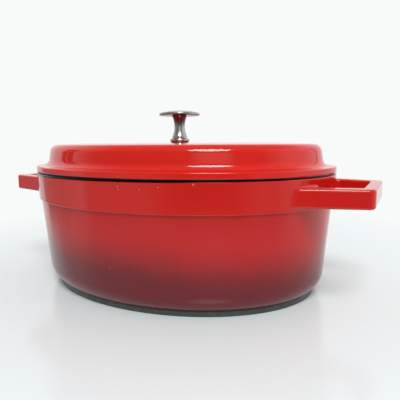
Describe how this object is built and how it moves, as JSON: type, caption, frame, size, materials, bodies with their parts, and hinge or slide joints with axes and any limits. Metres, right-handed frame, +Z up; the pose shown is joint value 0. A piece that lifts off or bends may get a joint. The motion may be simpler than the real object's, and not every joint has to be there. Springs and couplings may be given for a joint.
{
  "type": "oval dutch oven",
  "caption": "Oval enamelled cast-iron cooking pot with loop handles at both ends, a stepped collar and a lift-off domed lid with a bolted steel knob.",
  "frame": {"origin": "middle of the base, on the surface that the pot stands on", "axes": "+Z up, +X along the oval's long axis towards one handle, +Y across it"},
  "size_m": [0.3704, 0.239, 0.1662],
  "materials": {
    "pot_enamel": "gloss red enamel, darker towards the base",
    "lid_enamel": "gloss red enamel",
    "knob_steel": "turned and polished stainless steel",
    "fastener_steel": "plain stainless steel",
    "gasket_silicone": "matt black silicone"
  },
  "bodies": {
    "pot": {"pot": "pot_enamel"},
    "lid": {"lid": "lid_enamel", "knob_gasket": "gasket_silicone", "knob_bell": "knob_steel", "knob_stem": "knob_steel", "knob_cap": "knob_steel", "washer": "fastener_steel", "spring_washer": "fastener_steel", "knob_screw": "fastener_steel"}
  },
  "joints": [
    {"name": "lid_lift", "type": "slide", "parent": "pot", "child": "lid", "axis": [0, 0, 1], "range_m": [0, 0.2]}
  ]
}
